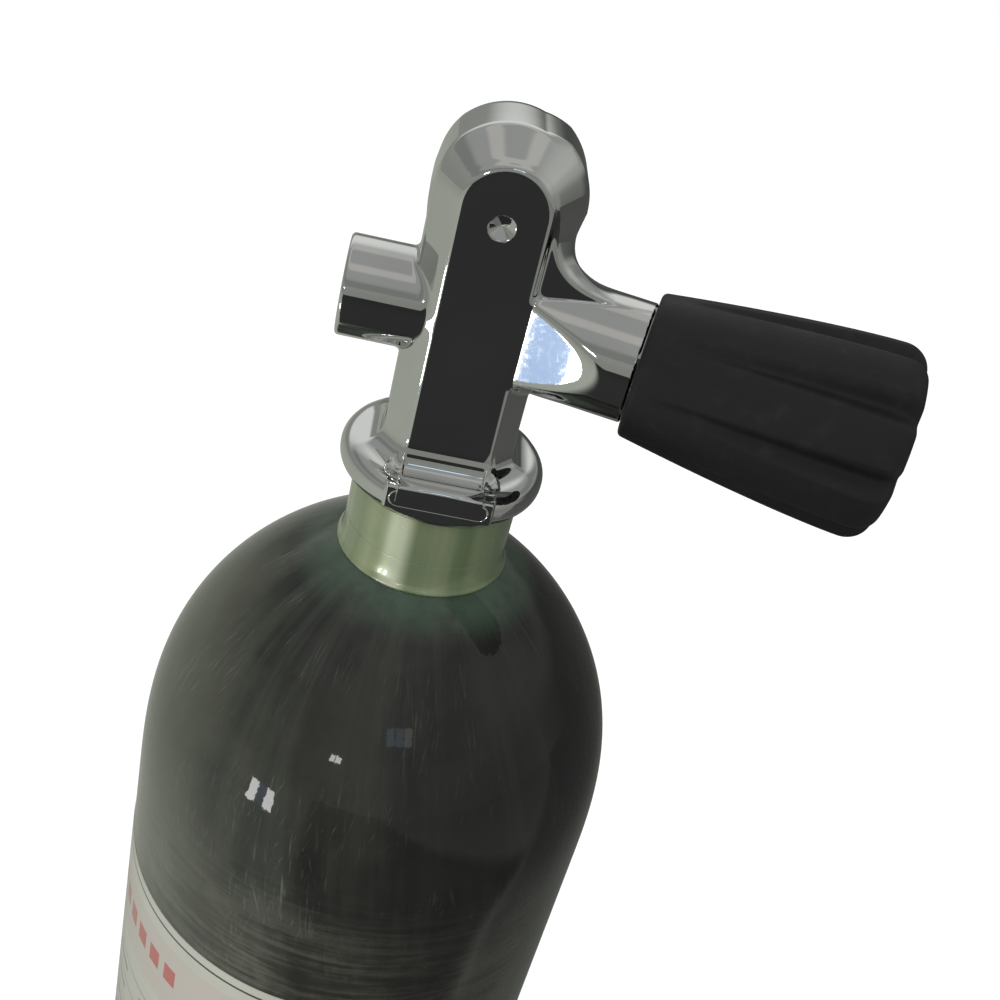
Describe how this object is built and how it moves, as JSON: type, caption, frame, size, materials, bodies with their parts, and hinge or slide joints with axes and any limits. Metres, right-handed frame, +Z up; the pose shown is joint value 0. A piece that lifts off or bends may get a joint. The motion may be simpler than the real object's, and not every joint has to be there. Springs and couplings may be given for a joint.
{
  "type": "scuba tank",
  "caption": "Composite diving cylinder with a chromed pillar valve, side handwheel that opens it, threaded outlet and rubber boot.",
  "frame": {"origin": "centre of the boot's underside, on the cylinder's axis", "axes": "+Z up the cylinder's axis, +Y out of the valve's outlet, +X to the handwheel's side"},
  "size_m": [0.1496, 0.121, 0.5338],
  "materials": {
    "liner_alloy": "satin, green anodised",
    "carbon_resin": "gloss resin over carbon fibre",
    "glass_resin": "clear gloss resin over glass fibre",
    "label_film": "gloss printed film",
    "boot_rubber": "matt",
    "seal_rubber": "smooth",
    "valve_chrome": "polished chrome plate on forged brass",
    "bonnet_chrome": "chrome plate on turned brass",
    "brass": "turned",
    "nylon": "smooth",
    "hub_plastic": "moulded",
    "grip_rubber": "matt moulded",
    "spring_steel": "bright"
  },
  "bodies": {
    "cylinder": {"liner": "liner_alloy", "carbon_wrap": "carbon_resin", "glass_wrap": "glass_resin", "label": "label_film", "tank_boot": "boot_rubber", "neck_o_ring": "seal_rubber", "valve_body": "valve_chrome", "dip_tube": "brass", "bonnet": "bonnet_chrome", "bonnet_gasket": "nylon", "burst_gasket": "nylon", "burst_disc": "brass", "burst_plug": "bonnet_chrome"},
    "handwheel": {"upper_spindle": "brass", "thrust_washer": "nylon", "spindle_o_rings": "seal_rubber", "knob_core": "hub_plastic", "knob_grip": "grip_rubber", "knob_spring": "spring_steel", "knob_washer": "spring_steel", "knob_nut": "spring_steel"},
    "valve_plug": {"lower_spindle": "brass", "seat_disc": "nylon"}
  },
  "joints": [
    {"name": "handwheel_turn", "type": "hinge", "parent": "cylinder", "child": "handwheel", "pos_m": [0, 0, 0.493], "axis": [0.9703, -0.2419, 0], "range_deg": [0, 900]},
    {"name": "plug_travel", "type": "slide", "parent": "handwheel", "child": "valve_plug", "axis": [0.9703, -0.2419, 0], "range_m": [0, 0.0031]}
  ],
  "couplings": [
    {"joint": "plug_travel", "follows": "handwheel_turn", "m_per_rad": 0.00019099}
  ]
}
